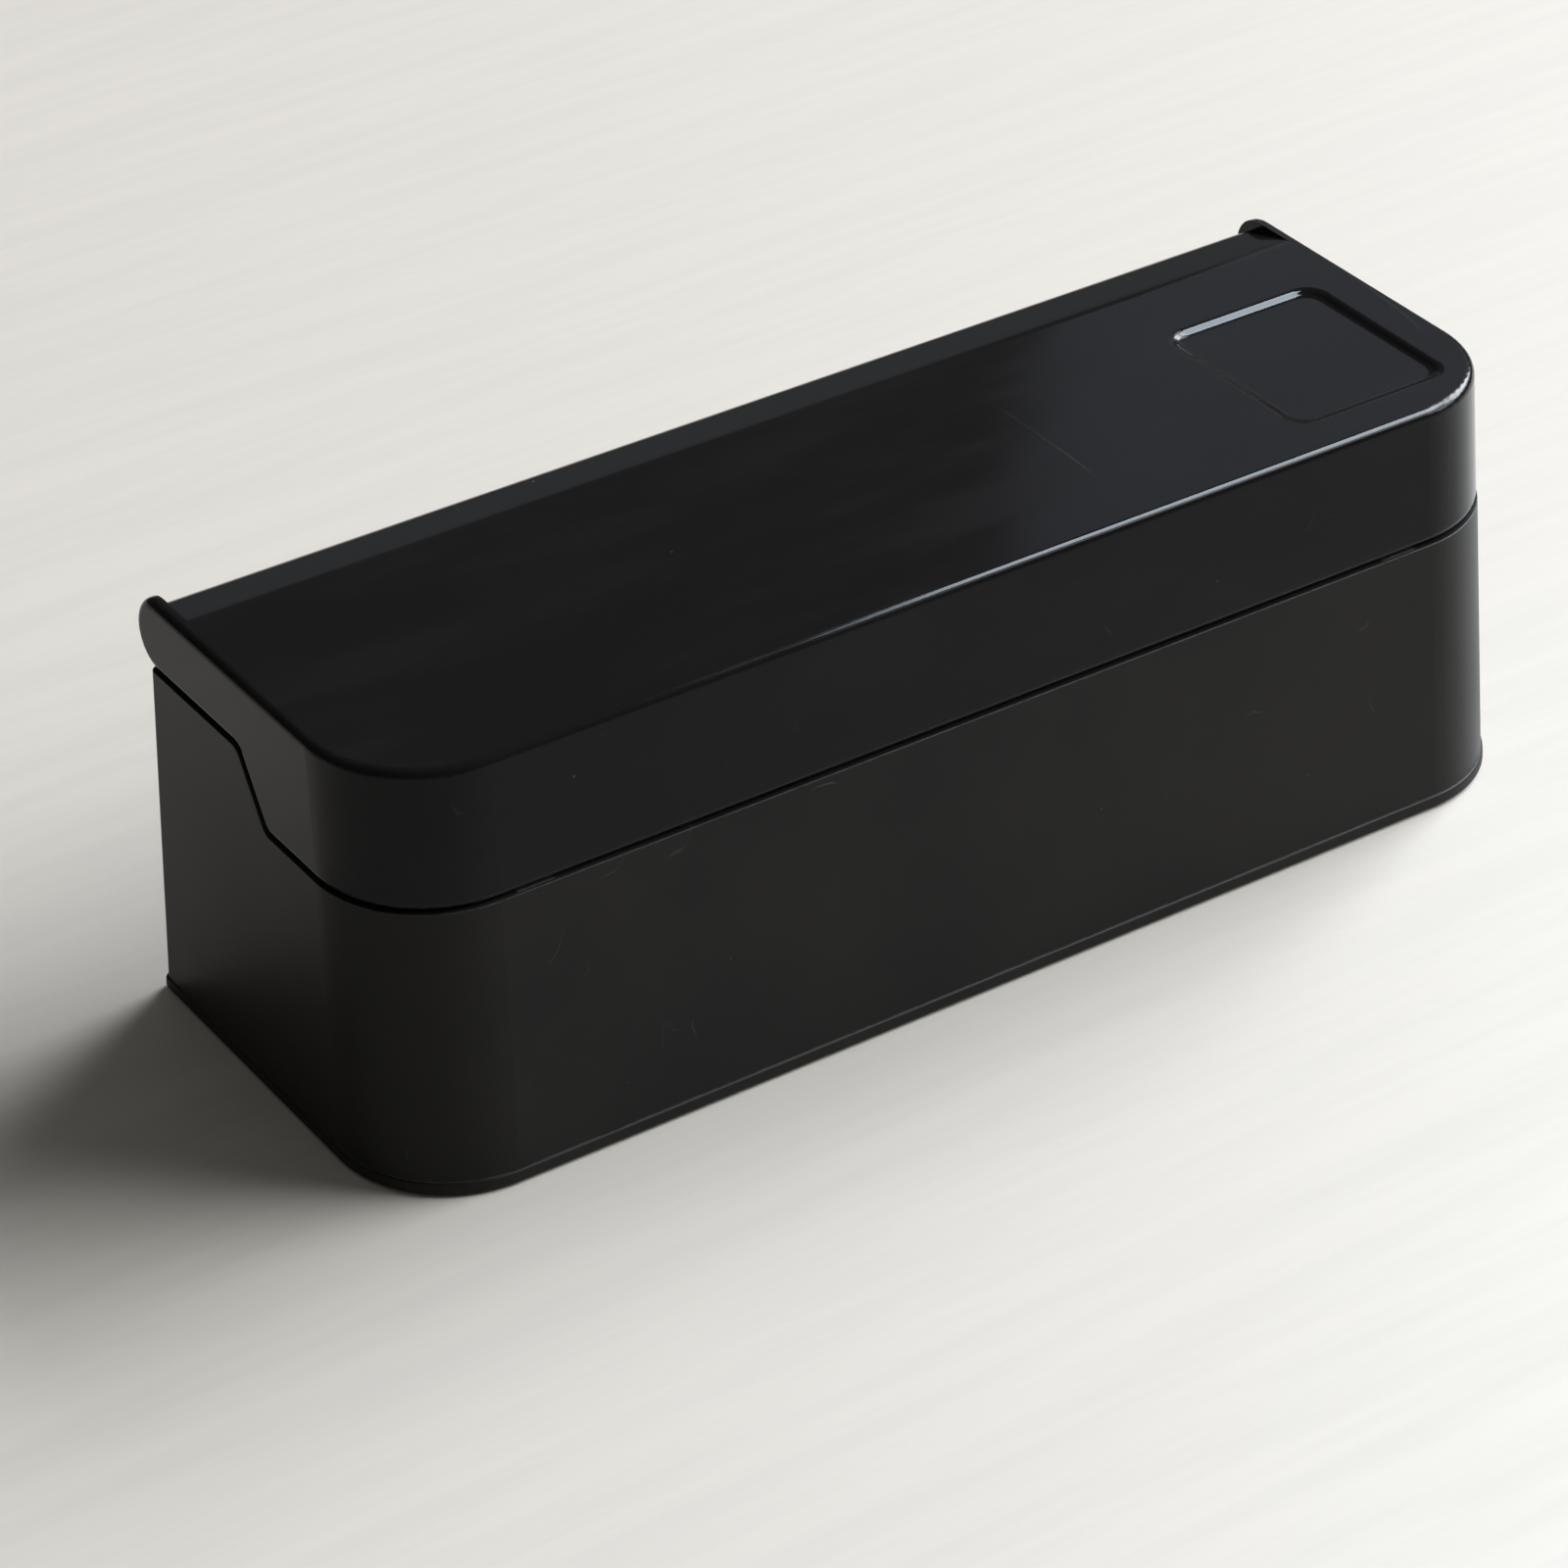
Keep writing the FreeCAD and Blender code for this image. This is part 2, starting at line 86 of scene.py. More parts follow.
# Rectangular lights: middle and size in metres, then watts and colour. All of them face LIGHT_AIM
LIGHT_AIM = (0.0, 0.0, 0.04)
DAYLIGHT = (1.0, 0.99, 0.97)
SKY_BLUE = (0.74, 0.83, 1.0)
LOW_SKY_BLUE = (0.6, 0.8, 1.0)
PANEL_BLUE = (0.76, 0.88, 1.0)
LIGHTS = {
    "window": {"middle": (4.05, -0.5, 3.07), "size": (6.0, 3.15), "watts": 520.0, "colour": DAYLIGHT},
    "sky_patch": {"middle": (1.47, 1.24, 1.12), "size": (0.9, 0.9), "watts": 1.4, "colour": SKY_BLUE},
    "low_sky": {"middle": (0.83, 1.6, 0.5), "size": (0.8, 0.36), "watts": 0.15, "colour": LOW_SKY_BLUE},
    "high_panel": {"middle": (0.83, -0.05, 1.2), "size": (0.85, 0.42), "watts": 41.0, "colour": PANEL_BLUE},
    "side_panel": {"middle": (1.33, 0.14, 0.95), "size": (0.85, 0.5), "watts": 34.0, "colour": PANEL_BLUE},
}

# Colours of the dim room, level with the box and overhead
ROOM_LOW = (0.085, 0.073, 0.057, 1.0)
ROOM_HIGH = (0.11, 0.107, 0.103, 1.0)

# How strongly the plastics mirror head on, as a share of the shader's full range
PLASTIC_MIRROR = 0.11

# Roughness of marks, whatever surface they are on
SCRATCH_ROUGHNESS = 0.42
DUST_ROUGHNESS = 0.9
BLOOM_ROUGHNESS = 0.95


# ---------------------------------------------------------------- nodes

def add_node(tree, kind, inputs=None, **settings):
    """Adds a node; each input is a value or an output socket to link from."""
    made = tree.nodes.new(kind)
    for key, value in settings.items():
        setattr(made, key, value)
    for key, value in (inputs or {}).items():
        if isinstance(value, bpy.types.NodeSocket):
            tree.links.new(value, made.inputs[key])
        else:
            made.inputs[key].default_value = value
    return made


def calc(tree, operation, a, b=0.0):
    """One sum on two values."""
    made = add_node(tree, "ShaderNodeMath", {0: a, 1: b}, operation=operation)
    return made.outputs["Value"]


def ramp(tree, value, low, high, to_low=0.0, to_high=1.0):
    """Takes value from low..high to to_low..to_high, smoothly and held at both ends."""
    made = add_node(tree, "ShaderNodeMapRange", {
        "Value": value, "From Min": low, "From Max": high, "To Min": to_low, "To Max": to_high,
    }, interpolation_type="SMOOTHSTEP")
    return made.outputs["Result"]


def blend_values(tree, factor, a, b):
    """Value a where factor is 0, b where it is 1."""
    made = add_node(tree, "ShaderNodeMix", {0: factor, 2: a, 3: b}, data_type="FLOAT")
    return made.outputs[0]


def blend_colours(tree, factor, a, b):
    """Colour a where factor is 0, b where it is 1."""
    made = add_node(tree, "ShaderNodeMix", {0: factor, 6: a, 7: b}, data_type="RGBA")
    return made.outputs[2]


def noise(tree, position, size, detail=2.0, roughness=0.5):
    """Cloudy value from 0 to 1 whose lumps are about size metres across."""
    frequency = calc(tree, "DIVIDE", 1.0, size)
    made = add_node(tree, "ShaderNodeTexNoise", {
        "Vector": position, "Scale": frequency, "Detail": detail, "Roughness": roughness,
    })
    return made.outputs["Fac"]


def start_group(name, inputs, outputs):
    """A new shader node group with named sockets: returns the tree and its input sockets."""
    tree = bpy.data.node_groups.new(name, "ShaderNodeTree")
    for label, kind, default in inputs:
        socket = tree.interface.new_socket(name=label, in_out="INPUT", socket_type="NodeSocket" + kind)
        if default is not None:
            socket.default_value = default
    for label, kind in outputs:
        tree.interface.new_socket(name=label, in_out="OUTPUT", socket_type="NodeSocket" + kind)
    return tree, tree.nodes.new("NodeGroupInput").outputs


def end_group(tree, **results):
    """Links the group's outputs, named with underscores for spaces."""
    sink = tree.nodes.new("NodeGroupOutput")
    for key, socket in results.items():
        tree.links.new(socket, sink.inputs[key.replace("_", " ")])
    return tree


def use_group(tree, name, **inputs):
    """Places a shared group, built the first time it is asked for, and returns its outputs."""
    group = bpy.data.node_groups.get(name) or GROUPS[name](name)
    made = tree.nodes.new("ShaderNodeGroup")
    made.node_tree = group
    for key, value in inputs.items():
        socket = made.inputs[key.replace("_", " ")]
        if isinstance(value, bpy.types.NodeSocket):
            tree.links.new(value, socket)
        else:
            socket.default_value = value
    return made.outputs


# ---------------------------------------------------------------- effects that materials share

def build_moulded_grain(name):
    """Fine texture of a spark-eroded mould, as a height in metres."""
    tree, given = start_group(name, [
        ("Position", "Vector", None), ("Grain", "Float", 0.0004), ("Depth", "Float", 0.000004),
    ], [("Height", "Float")])
    coarse = noise(tree, given["Position"], given["Grain"], 3.0, 0.6)
    pits = add_node(tree, "ShaderNodeTexVoronoi", {
        "Vector": given["Position"], "Scale": calc(tree, "DIVIDE", 0.7, given["Grain"]),
    }, feature="SMOOTH_F1")
    both = calc(tree, "ADD", coarse, calc(tree, "MULTIPLY", pits.outputs["Distance"], 0.6))
    return end_group(tree, Height=calc(tree, "MULTIPLY", both, given["Depth"]))


def build_mould_waviness(name):
    """Slow rise and fall of a moulded wall that bends what it mirrors, as a height in metres."""
    tree, given = start_group(name, [
        ("Position", "Vector", None), ("Length", "Float", 0.05), ("Depth", "Float", 0.00003),
    ], [("Height", "Float")])
    slow = noise(tree, given["Position"], given["Length"], 1.0, 0.4)
    return end_group(tree, Height=calc(tree, "MULTIPLY", slow, given["Depth"]))


def build_hair_scratches(name):
    """Hair-thin wiping scratches in three directions, broken into short runs. Mask is 1 on a scratch."""
    tree, given = start_group(name, [
        ("Position", "Vector", None), ("Spacing", "Float", 0.01), ("Width", "Float", 0.00012),
        ("Amount", "Float", 0.5),
    ], [("Mask", "Float")])
    total = None
    for turn in (0.35, 1.25, 2.5):
        turned = add_node(tree, "ShaderNodeMapping", {
            "Vector": given["Position"], "Rotation": (0.4 * turn, 0.7 * turn, turn),
            "Scale": (1.0, 0.12, 1.0),
        })
        field = noise(tree, turned.outputs["Vector"], given["Spacing"], 1.5, 0.4)
        away = calc(tree, "ABSOLUTE", calc(tree, "SUBTRACT", field, 0.5))
        reach = calc(tree, "DIVIDE", given["Width"], given["Spacing"])
        line = ramp(tree, away, 0.0, reach, 1.0, 0.0)
        runs = noise(tree, turned.outputs["Vector"], calc(tree, "MULTIPLY", given["Spacing"], 0.9), 2.0)
        cut = calc(tree, "SUBTRACT", 0.95, calc(tree, "MULTIPLY", given["Amount"], 0.5))
        kept = ramp(tree, runs, calc(tree, "SUBTRACT", cut, 0.12), cut)
        scratch = calc(tree, "MULTIPLY", line, kept)
        total = scratch if total is None else calc(tree, "MAXIMUM", total, scratch)
    return end_group(tree, Mask=total)


def build_dust_specks(name):
    """Settled dust: scattered round specks of many sizes on what faces up. Mask is 1 on a speck."""
    tree, given = start_group(name, [
        ("Position", "Vector", None), ("Spacing", "Float", 0.006), ("Size", "Float", 0.0002),
        ("Amount", "Float", 0.3),
    ], [("Mask", "Float")])
    cells = add_node(tree, "ShaderNodeTexVoronoi", {
        "Vector": given["Position"], "Scale": calc(tree, "DIVIDE", 1.0, given["Spacing"]),
    }, feature="F1")
    chance = add_node(tree, "ShaderNodeSeparateColor", {"Color": cells.outputs["Color"]})
    there = calc(tree, "LESS_THAN", chance.outputs[0], given["Amount"])
    share = calc(tree, "DIVIDE", given["Size"], given["Spacing"])
    spread = calc(tree, "ADD", calc(tree, "MULTIPLY", chance.outputs[1], 1.5), 0.3)
    radius = calc(tree, "MULTIPLY", share, spread)
    spot = ramp(tree, cells.outputs["Distance"], calc(tree, "MULTIPLY", radius, 0.4), radius, 1.0, 0.0)
    facing = add_node(tree, "ShaderNodeSeparateXYZ", {
        "Vector": add_node(tree, "ShaderNodeNewGeometry").outputs["Normal"]})
    up = ramp(tree, facing.outputs["Z"], -0.1, 0.6, 0.15, 1.0)
    return end_group(tree, Mask=calc(tree, "MULTIPLY", calc(tree, "MULTIPLY", spot, there), up))


def build_wipe_smears(name):
    """Long soft smears that a cloth leaves on gloss. Mask runs from 0, clean, to 1."""
    tree, given = start_group(name, [
        ("Position", "Vector", None), ("Length", "Float", 0.06),
    ], [("Mask", "Float")])
    drawn = add_node(tree, "ShaderNodeMapping", {
        "Vector": given["Position"], "Rotation": (0.0, 0.0, 0.25), "Scale": (1.0, 4.0, 2.5),
    })
    wide = noise(tree, drawn.outputs["Vector"], given["Length"], 4.0, 0.6)
    return end_group(tree, Mask=ramp(tree, wide, 0.42, 0.72))


def build_worn_edges_and_highlight(name):
    """Rubbed edges, and on the satin plastics also a painted highlight: the mask rises where the surface
    turns within Reach, broken by a fine noise.
    """
    tree, given = start_group(name, [
        ("Position", "Vector", None), ("Reach", "Float", 0.0006), ("Break Up", "Float", 0.004),
    ], [("Mask", "Float")])
    softened = add_node(tree, "ShaderNodeBevel", {"Radius": given["Reach"]}, samples=6)
    true_normal = add_node(tree, "ShaderNodeNewGeometry").outputs["Normal"]
    agree = add_node(tree, "ShaderNodeVectorMath", {0: softened.outputs["Normal"], 1: true_normal},
                     operation="DOT_PRODUCT")
    turned = ramp(tree, agree.outputs["Value"], 0.97, 0.75, 0.0, 1.0)
    patches = ramp(tree, noise(tree, given["Position"], given["Break Up"], 4.0, 0.65), 0.32, 0.55)
    return end_group(tree, Mask=calc(tree, "MULTIPLY", turned, patches))


def build_turned_rings(name):
    """Fine machining marks: rings round the zero point of Position, as a height in metres."""
    tree, given = start_group(name, [
        ("Position", "Vector", None), ("Pitch", "Float", 0.0002), ("Depth", "Float", 0.000002),
    ], [("Height", "Float")])
    rings = add_node(tree, "ShaderNodeTexWave", {
        "Vector": given["Position"], "Scale": calc(tree, "DIVIDE", 0.16, given["Pitch"]),
        "Distortion": 0.6, "Detail": 2.0,
    }, wave_type="RINGS", rings_direction="SPHERICAL")
    return end_group(tree, Height=calc(tree, "MULTIPLY", rings.outputs["Fac"], given["Depth"]))


GROUPS = {
    "moulded_grain": build_moulded_grain,
    "mould_waviness": build_mould_waviness,
    "hair_scratches": build_hair_scratches,
    "dust_specks": build_dust_specks,
    "wipe_smears": build_wipe_smears,
    "edge_wear_and_highlight": build_worn_edges_and_highlight,
    "turned_rings": build_turned_rings,
}


# ---------------------------------------------------------------- materials

def start_material(name):
    """An empty node material: returns it, its tree, its shader and the object's own coordinates."""
    material = bpy.data.materials.new(name)
    material.use_nodes = True
    tree = material.node_tree
    tree.nodes.clear()
    shader = tree.nodes.new("ShaderNodeBsdfPrincipled")
    output = tree.nodes.new("ShaderNodeOutputMaterial")
    tree.links.new(shader.outputs["BSDF"], output.inputs["Surface"])
    position = tree.nodes.new("ShaderNodeTexCoord").outputs["Object"]
    return material, tree, shader, position


def set_shader(tree, shader, **inputs):
    """Sets or links the shader's sockets, named with underscores for spaces."""
    for key, value in inputs.items():
        socket = shader.inputs[key.replace("_", " ")]
        if isinstance(value, bpy.types.NodeSocket):
            tree.links.new(value, socket)
        else:
            socket.default_value = value


def bumped(tree, height):
    """Normal of a surface raised by height, in metres."""
    made = add_node(tree, "ShaderNodeBump", {"Height": height, "Distance": 1.0, "Strength": 1.0})
    return made.outputs["Normal"]


def rgba(colour):
    """A colour property as four numbers."""
    return (*colour, 1.0)


def polished_plastic(name, settings):
    """Polished black plastic: near mirror, slightly wavy, with wipe smears, fine scratches and dust."""
    material, tree, shader, position = start_material(name)
    smears = use_group(tree, "wipe_smears", Position=position, Length=0.07)["Mask"]
    fine = use_group(tree, "hair_scratches", Position=position, Spacing=0.012, Width=settings.scratch_width,
                     Amount=settings.scratch_amount)["Mask"]
    rubbed = use_group(tree, "edge_wear_and_highlight", Position=position, Reach=0.0007)["Mask"]
    dust = use_group(tree, "dust_specks", Position=position, Amount=settings.dust_amount)["Mask"]
    waves = use_group(tree, "mould_waviness", Position=position, Length=0.045,
                      Depth=settings.waviness)["Height"]
    film = calc(tree, "MULTIPLY", smears, 0.5)
    colour = blend_colours(tree, film, rgba(settings.colour), rgba(settings.smear_colour))
    colour = blend_colours(tree, calc(tree, "MULTIPLY", fine, 0.35), colour, rgba(settings.scratch_colour))
    colour = blend_colours(tree, calc(tree, "MULTIPLY", rubbed, 0.25), colour, rgba(settings.scratch_colour))
    colour = blend_colours(tree, dust, colour, rgba(settings.dust_colour))
    gloss = calc(tree, "ADD", settings.roughness, calc(tree, "MULTIPLY", smears, 0.07))
    gloss = blend_values(tree, fine, gloss, SCRATCH_ROUGHNESS)
    gloss = blend_values(tree, rubbed, gloss, 0.3)
    gloss = blend_values(tree, dust, gloss, DUST_ROUGHNESS)
    grooves = calc(tree, "MULTIPLY", fine, -2.0e-6)
    set_shader(tree, shader, Base_Color=colour, Roughness=gloss, Specular_IOR_Level=PLASTIC_MIRROR,
               Normal=bumped(tree, calc(tree, "ADD", waves, grooves)))
    return material


def satin_plastic(name, settings):
    """Satin black plastic with a fine moulded grain, rubbed edges painted lighter both as wear and as a
    painted highlight, and a little dust.
    """
    material, tree, shader, position = start_material(name)
    grain = use_group(tree, "moulded_grain", Position=position, Grain=settings.grain,
                      Depth=settings.grain_depth)["Height"]
    waves = use_group(tree, "mould_waviness", Position=position, Length=0.06, Depth=0.00004)["Height"]
    rubbed = use_group(tree, "edge_wear_and_highlight", Position=position, Reach=0.0006)["Mask"]
    fine = use_group(tree, "hair_scratches", Position=position, Spacing=0.016, Width=0.00014,
                     Amount=0.35)["Mask"]
    dust = use_group(tree, "dust_specks", Position=position, Spacing=0.005, Amount=0.18)["Mask"]
    clouds = ramp(tree, noise(tree, position, 0.05, 3.0), 0.3, 0.7)
    colour = blend_colours(tree, clouds, rgba(settings.colour), rgba(settings.cloud_colour))
    # Edges painted lighter: partly rubbed wear, partly a painted highlight that stands in for the bright line
    # on the seam ledge and the flange edge
    colour = blend_colours(tree, calc(tree, "MULTIPLY", rubbed, 0.75), colour, rgba(settings.wear_and_highlight_colour))
    colour = blend_colours(tree, calc(tree, "MULTIPLY", fine, 0.25), colour, rgba(settings.wear_and_highlight_colour))
    colour = blend_colours(tree, dust, colour, rgba(settings.dust_colour))
    gloss = calc(tree, "ADD", settings.roughness, calc(tree, "MULTIPLY", clouds, 0.06))
    gloss = blend_values(tree, rubbed, gloss, 0.25)
    gloss = blend_values(tree, dust, gloss, DUST_ROUGHNESS)
    set_shader(tree, shader, Base_Color=colour, Roughness=gloss, Specular_IOR_Level=PLASTIC_MIRROR,
               Normal=bumped(tree, calc(tree, "ADD", waves, grain)))
    return material


def soft_rubber(name, settings):
    """Matt dark rubber with a bloom in random patches and fine pores."""
    material, tree, shader, position = start_material(name)
    pores = use_group(tree, "moulded_grain", Position=position, Grain=settings.grain, Depth=0.00001)["Height"]
    bloom = ramp(tree, noise(tree, position, 0.003, 4.0, 0.6), 0.4, 0.75)
    dust = use_group(tree, "dust_specks", Position=position, Spacing=0.002, Size=0.00012, Amount=0.35)["Mask"]
    colour = blend_colours(tree, bloom, rgba(settings.colour), rgba(settings.bloom_colour))
    colour = blend_colours(tree, dust, colour, rgba(settings.dust_colour))
    matt = ramp(tree, bloom, 0.0, 1.0, settings.roughness, BLOOM_ROUGHNESS)
    set_shader(tree, shader, Base_Color=colour, Roughness=matt, Normal=bumped(tree, pores))
    return material


def worked_steel(name, settings):
    """Bright steel with fine machining marks, faint stains and rubbed edges."""
    material, tree, shader, position = start_material(name)
    rings = use_group(tree, "turned_rings", Position=position, Pitch=settings.mark_pitch)["Height"]
    rubbed = use_group(tree, "edge_wear_and_highlight", Position=position, Reach=0.0003, Break_Up=0.001)["Mask"]
    stains = ramp(tree, noise(tree, position, 0.0025, 4.0, 0.6), 0.45, 0.75)
    colour = blend_colours(tree, stains, rgba(settings.colour), rgba(settings.stain_colour))
    gloss = calc(tree, "ADD", settings.roughness, calc(tree, "MULTIPLY", stains, 0.15))
    gloss = blend_values(tree, rubbed, gloss, 0.16)
    set_shader(tree, shader, Base_Color=colour, Roughness=gloss, Metallic=1.0, Normal=bumped(tree, rings))
    return material


# ---------------------------------------------------------------- meshes

def finish_mesh(name, builder, material):
    """Turns a bmesh into a smooth-shaded object with one material."""
    bmesh.ops.recalc_face_normals(builder, faces=builder.faces)
    mesh = bpy.data.meshes.new(name)
    builder.to_mesh(mesh)
    builder.free()
    mesh.shade_smooth()
    mesh.set_sharp_from_angle(angle=SHARP_ANGLE)
    mesh.materials.append(material)
    made = bpy.data.objects.new(name, mesh)
    bpy.context.scene.collection.objects.link(made)
    return made


def arc(centre, radius, start, end, steps):
    """Points (radius, height) on an arc, with angles in degrees."""
    turns = [math.radians(start + (end - start) * i / steps) for i in range(steps + 1)]
    return [(centre[0] + radius * math.cos(t), centre[1] + radius * math.sin(t)) for t in turns]


def lathe(builder, outline, place, segments=64):
    """Turns an outline of (radius, height) points about the Z axis of the matrix place."""
    rings = []
    for radius, height in outline:
        if radius < 1e-7:
            rings.append([builder.verts.new(place @ Vector((0, 0, height)))])
            continue
        turns = [2 * math.pi * i / segments for i in range(segments)]
        rings.append([builder.verts.new(place @ Vector((radius * math.cos(t), radius * math.sin(t), height)))
                      for t in turns])
    for low, high in zip(rings, rings[1:]):
        for i in range(segments):
            j = (i + 1) % segments
            corners = [low[i % len(low)], low[j % len(low)], high[j % len(high)], high[i % len(high)]]
            builder.faces.new(list(dict.fromkeys(corners)))


def dress(node, material):
    """Gives a carried CAD node its finish."""
    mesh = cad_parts[node].data
    mesh.materials.clear()
    mesh.materials.append(material)


def install(piece, node_names, body="base"):
    """Makes a piece ride on a body and hides the CAD nodes that it stands for."""
    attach(piece, body)
    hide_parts(*node_names)


# ---------------------------------------------------------------- settings

def colour_setting(name, description, default):
    return FloatVectorProperty(name=name, description=description, default=default, subtype="COLOR",
                               size=3, min=0.0, max=1.0)


def length_setting(name, description, default):
    return FloatProperty(name=name, description=description, default=default, subtype="DISTANCE",
                         unit="LENGTH", precision=6, min=0.0)


def share_setting(name, description, default):
    return FloatProperty(name=name, description=description, default=default, subtype="FACTOR",
                         min=0.0, max=1.0)


class LidFinish(bpy.types.PropertyGroup):
    """Polished lid."""
    colour: colour_setting("Colour", "Plastic colour of the lid", (0.0085, 0.0085, 0.0095))
    smear_colour: colour_setting("Smear Colour", "Colour where a cloth left a film", (0.013, 0.013, 0.014))
    scratch_colour: colour_setting("Scratch Colour", "Colour of scratches and rubbed edges",
                                   (0.09, 0.09, 0.095))
    dust_colour: colour_setting("Dust Colour", "Colour of settled dust", (0.22, 0.21, 0.19))
    roughness: share_setting("Roughness", "Roughness of the clean polish", 0.085)
    waviness: length_setting("Waviness", "Height of the slow waves in the moulded faces", 0.0002)
    scratch_width: length_setting("Scratch Width", "Width of the finest scratches", 0.0001)
    scratch_amount: share_setting("Scratches", "How many scratches there are", 0.36)
    dust_amount: share_setting("Dust", "How many dust specks there are", 0.12)


class BodyFinish(bpy.types.PropertyGroup):
    """Satin body."""
    colour: colour_setting("Colour", "Plastic colour of the body", (0.0125, 0.0125, 0.013))
    cloud_colour: colour_setting("Cloud Colour", "Second colour of the faint clouding",
                                 (0.0165, 0.0163, 0.016))
    # Also the painted highlight along the body's seam ledge, besides rubbed edges and scratches
    wear_and_highlight_colour: colour_setting("Rubbed Colour", "Colour of rubbed edges and scratches", (0.16, 0.16, 0.165))
    dust_colour: colour_setting("Dust Colour", "Colour of settled dust", (0.18, 0.17, 0.155))
    roughness: share_setting("Roughness", "Roughness of the satin face", 0.36)
    grain: length_setting("Grain", "Size of the moulded grain", 0.00035)
    grain_depth: length_setting("Grain Depth", "Depth of the moulded grain", 0.000006)


class PlateFinish(bpy.types.PropertyGroup):
    """Textured bottom plate."""
    colour: colour_setting("Colour", "Plastic colour of the plate", (0.013, 0.013, 0.013))
    cloud_colour: colour_setting("Cloud Colour", "Second colour of the faint clouding", (0.019, 0.019, 0.018))
    # Also the painted highlight along the plate's flange edge, besides rubbed edges and nicks
    wear_and_highlight_colour: colour_setting("Rubbed Colour", "Colour of rubbed edges and nicks", (0.14, 0.135, 0.13))
    dust_colour: colour_setting("Dust Colour", "Colour of settled dust", (0.2, 0.19, 0.17))
    roughness: share_setting("Roughness", "Roughness of the textured face", 0.48)
    grain: length_setting("Grain", "Size of the moulded grain", 0.0006)
    grain_depth: length_setting("Grain Depth", "Depth of the moulded grain", 0.000012)


class RubberFinish(bpy.types.PropertyGroup):
    """Rubber feet and pads."""
    colour: colour_setting("Colour", "Rubber colour", (0.022, 0.022, 0.022))
    bloom_colour: colour_setting("Bloom Colour", "Colour of the grey bloom", (0.05, 0.05, 0.048))
    dust_colour: colour_setting("Dust Colour", "Colour of grit on the rubber", (0.25, 0.23, 0.2))
    roughness: share_setting("Roughness", "Roughness of clean rubber", 0.7)
    grain: length_setting("Grain", "Size of the pores", 0.00025)
    ring_count: IntProperty(name="Grip Rings", description="Raised rings under each foot", default=3,
                            min=1, max=5)
    ring_height: length_setting("Ring Height", "Height of the grip rings", 0.00025)


class SteelFinish(bpy.types.PropertyGroup):
    """Steel hinge pins and screws."""
    colour: colour_setting("Colour", "Steel colour", (0.55, 0.55, 0.56))
    stain_colour: colour_setting("Stain Colour", "Colour of faint stains", (0.4, 0.38, 0.35))
    roughness: share_setting("Roughness", "Roughness of the clean steel", 0.24)
    mark_pitch: length_setting("Machining Marks", "Spacing of the machining marks", 0.00022)
    thread_pitch: length_setting("Thread Pitch", "Pitch of the plate screws' thread", 0.0012)
    thread_depth: length_setting("Thread Depth", "Depth of the plate screws' thread", 0.00038)


class StageSettings(bpy.types.PropertyGroup):
    """Floor, lights and camera."""
    floor_colour: colour_setting("Floor Colour", "Colour of the plain floor", (0.75, 0.735, 0.705))
    floor_width: length_setting("Floor Width", "Side of the square floor", 6.0)
    lens: FloatProperty(name="Lens", description="Focal length in millimetres on a 36 mm sensor",
                        default=126.9, min=20, max=300)
    turn: FloatProperty(name="Turn", description="Camera's turn to the left of the front",
                        default=math.radians(32.4), subtype="ANGLE")
    rise: FloatProperty(name="Rise", description="Camera's rise above the floor",
                        default=math.radians(33.3), subtype="ANGLE")
    roll: FloatProperty(name="Roll", description="Camera's roll", default=math.radians(-1.7), subtype="ANGLE")
    distance: length_setting("Distance", "Camera to the point it aims at", 1.0815)
    aim: FloatVectorProperty(name="Aim", description="Point that the camera aims at", subtype="TRANSLATION",
                             unit="LENGTH", size=3, default=(-0.0185, -0.0006, 0.0290))


# ---------------------------------------------------------------- operators

class NAPKINBOX_OT_lid(bpy.types.Operator):
    """Polishes the lid"""
    bl_idname = "napkinbox.lid"
    bl_label = "Lid"

    def execute(self, context):
        dress("lid_shell", polished_plastic("lid_plastic_polished", context.scene.napkinbox_lid))
        return {"FINISHED"}


class NAPKINBOX_OT_body(bpy.types.Operator):
    """Gives the body its satin plastic"""
    bl_idname = "napkinbox.body"
    bl_label = "Body"

    def execute(self, context):
        dress("body_shell", satin_plastic("body_plastic_satin", context.scene.napkinbox_body))
        return {"FINISHED"}


class NAPKINBOX_OT_plate(bpy.types.Operator):
    """Gives the bottom plate its textured plastic"""
    bl_idname = "napkinbox.plate"
    bl_label = "Bottom Plate"

    def execute(self, context):
        dress("bottom_plate", satin_plastic("plate_plastic_textured", context.scene.napkinbox_plate))
        return {"FINISHED"}


def foot_outline(radius, height, ring_count, ring_height):
    """Outline of a pressed rubber foot: grip rings below, a rounded rim and a flat back."""
    rim = 0.1 * radius
    pitch = (radius - 2 * rim) / ring_count
    outline = [(0.0, ring_height)]
    for ring in range(ring_count):
        start = ring * pitch + 0.35 * pitch
        crown = 0.3 * pitch
        turns = [math.pi * i / 8 for i in range(9)]
        outline += [(start + crown - crown * math.cos(t), ring_height * (1 - math.sin(t))) for t in turns]
    outline += arc((radius - rim, rim), rim, -90, 0, 8)
    outline += arc((radius - 0.3 * rim, height - 0.3 * rim), 0.3 * rim, 0, 90, 4)
    outline.append((0.0, height))
    return outline


